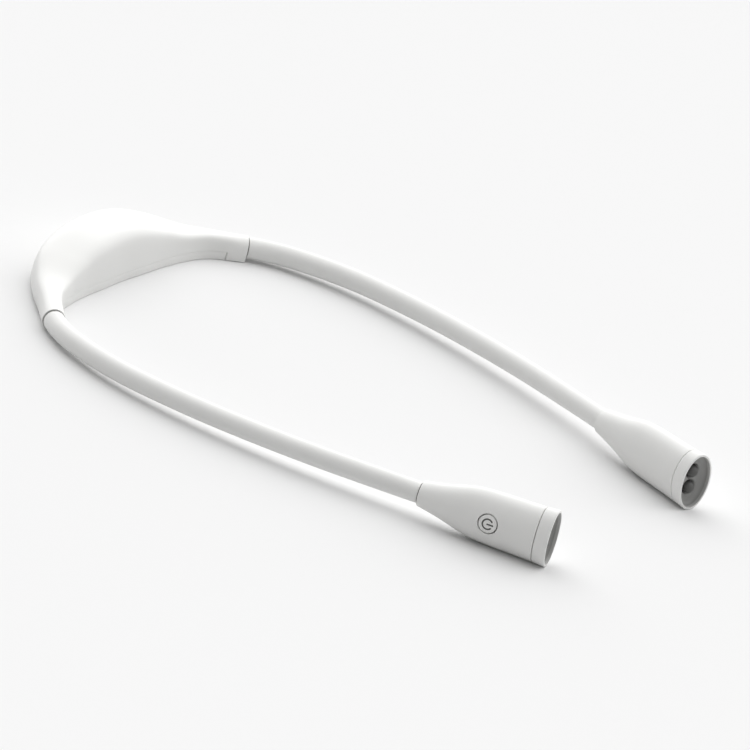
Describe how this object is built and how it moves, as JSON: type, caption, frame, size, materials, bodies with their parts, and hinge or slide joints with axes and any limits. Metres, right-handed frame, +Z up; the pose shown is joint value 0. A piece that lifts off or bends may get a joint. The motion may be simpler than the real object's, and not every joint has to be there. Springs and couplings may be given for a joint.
{
  "type": "neck reading light",
  "caption": "Reading light worn round the neck: curved battery housing behind, bendable arms and oval lamp heads with recessed LEDs and side buttons.",
  "frame": {"origin": "centre of the bounding box's bottom, on the level surface that the light lies on", "axes": "+Z up, +Y towards the battery housing, -Y the way the lamp heads point, +X to the right-hand arm"},
  "size_m": [0.1734, 0.2595, 0.023],
  "materials": {
    "white_plastic": "satin white ABS",
    "white_sleeve": "smooth soft white sleeve",
    "grey_plastic": "satin grey",
    "steel": "bright",
    "led_clear": "clear epoxy",
    "circuit_board": "green solder mask",
    "black_plastic": "black",
    "lead_black": "insulated lead",
    "cell_wrap": "plain printed wrap"
  },
  "bodies": {
    "hub": {"hub_upper_shell": "white_plastic", "hub_lower_shell": "white_plastic", "hub_screw_1": "steel", "hub_screw_2": "steel", "battery_1": "cell_wrap", "battery_2": "cell_wrap", "battery_spring_1": "steel", "battery_spring_2": "steel", "contact_bridge": "steel", "plus_contact": "steel", "minus_contact": "steel", "hub_lead_left": "lead_black", "arm_ferrule_left": "steel", "hose_left_1": "steel", "sleeve_left_1": "white_sleeve", "hub_lead_right": "lead_black", "arm_ferrule_right": "steel", "hose_right_1": "steel", "sleeve_right_1": "white_sleeve"},
    "battery_door": {"battery_door": "white_plastic"},
    "arm_left_2": {"sleeve_left_2": "white_sleeve", "hose_left_2": "steel"},
    "arm_left_3": {"sleeve_left_3": "white_sleeve", "hose_left_3": "steel"},
    "arm_left_4": {"sleeve_left_4": "white_sleeve", "hose_left_4": "steel"},
    "head_left": {"sleeve_left_5": "white_sleeve", "hose_left_5": "steel", "head_shell_left": "white_plastic", "bezel_left": "white_plastic", "led_plate_left": "grey_plastic", "led_board_left": "circuit_board", "led_upper_left": "led_clear", "led_lower_left": "led_clear", "switch_board_left": "circuit_board", "switch_body_left": "black_plastic", "head_lead_left": "lead_black"},
    "button_left": {"button_cap_left": "white_plastic", "switch_plunger_left": "black_plastic"},
    "arm_right_2": {"sleeve_right_2": "white_sleeve", "hose_right_2": "steel"},
    "arm_right_3": {"sleeve_right_3": "white_sleeve", "hose_right_3": "steel"},
    "arm_right_4": {"sleeve_right_4": "white_sleeve", "hose_right_4": "steel"},
    "head_right": {"sleeve_right_5": "white_sleeve", "hose_right_5": "steel", "head_shell_right": "white_plastic", "bezel_right": "white_plastic", "led_plate_right": "grey_plastic", "led_board_right": "circuit_board", "led_upper_right": "led_clear", "led_lower_right": "led_clear", "switch_board_right": "circuit_board", "switch_body_right": "black_plastic", "head_lead_right": "lead_black"},
    "button_right": {"button_cap_right": "white_plastic", "switch_plunger_right": "black_plastic"}
  },
  "joints": [
    {"name": "arm_left_yaw_1", "type": "hinge", "parent": "hub", "child": "arm_left_2", "pos_m": [-0.07709, 0.07364, 0.00519], "axis": [0, 0.0313, 0.9995], "range_deg": [-30, 20]},
    {"name": "arm_left_pitch_2", "type": "hinge", "parent": "arm_left_2", "child": "arm_left_3", "pos_m": [-0.0826, 0.04025, 0.00624], "axis": [-1, 0.0017, -0.0001], "range_deg": [-30, 30]},
    {"name": "arm_left_yaw_3", "type": "hinge", "parent": "arm_left_3", "child": "arm_left_4", "pos_m": [-0.08005, -0.00161, 0.00755], "axis": [0, 0.0313, 0.9995], "range_deg": [-30, 30]},
    {"name": "arm_left_pitch_4", "type": "hinge", "parent": "arm_left_4", "child": "head_left", "pos_m": [-0.07155, -0.04677, 0.00896], "axis": [-0.9703, -0.2418, 0.0076], "range_deg": [-30, 30]},
    {"name": "button_left_press", "type": "slide", "parent": "head_left", "child": "button_left", "axis": [0.9655, 0.2604, -0.0081], "range_m": [0, 0.0004], "stiffness_N_per_m": 1500, "springref_m": -0.0002},
    {"name": "arm_right_yaw_1", "type": "hinge", "parent": "hub", "child": "arm_right_2", "pos_m": [0.07709, 0.07364, 0.00519], "axis": [0, 0.0313, 0.9995], "range_deg": [-20, 30]},
    {"name": "arm_right_pitch_2", "type": "hinge", "parent": "arm_right_2", "child": "arm_right_3", "pos_m": [0.0826, 0.04025, 0.00624], "axis": [-1, -0.0017, 0.0001], "range_deg": [-30, 30]},
    {"name": "arm_right_yaw_3", "type": "hinge", "parent": "arm_right_3", "child": "arm_right_4", "pos_m": [0.08005, -0.00161, 0.00755], "axis": [0, 0.0313, 0.9995], "range_deg": [-30, 30]},
    {"name": "arm_right_pitch_4", "type": "hinge", "parent": "arm_right_4", "child": "head_right", "pos_m": [0.07155, -0.04677, 0.00896], "axis": [-0.9703, 0.2418, -0.0076], "range_deg": [-30, 30]},
    {"name": "button_right_press", "type": "slide", "parent": "head_right", "child": "button_right", "axis": [-0.9655, 0.2604, -0.0081], "range_m": [0, 0.0004], "stiffness_N_per_m": 1500, "springref_m": -0.0002},
    {"name": "battery_door_out", "type": "slide", "parent": "hub", "child": "battery_door", "axis": [0, 0, -1], "range_m": [0, 0.012]}
  ]
}
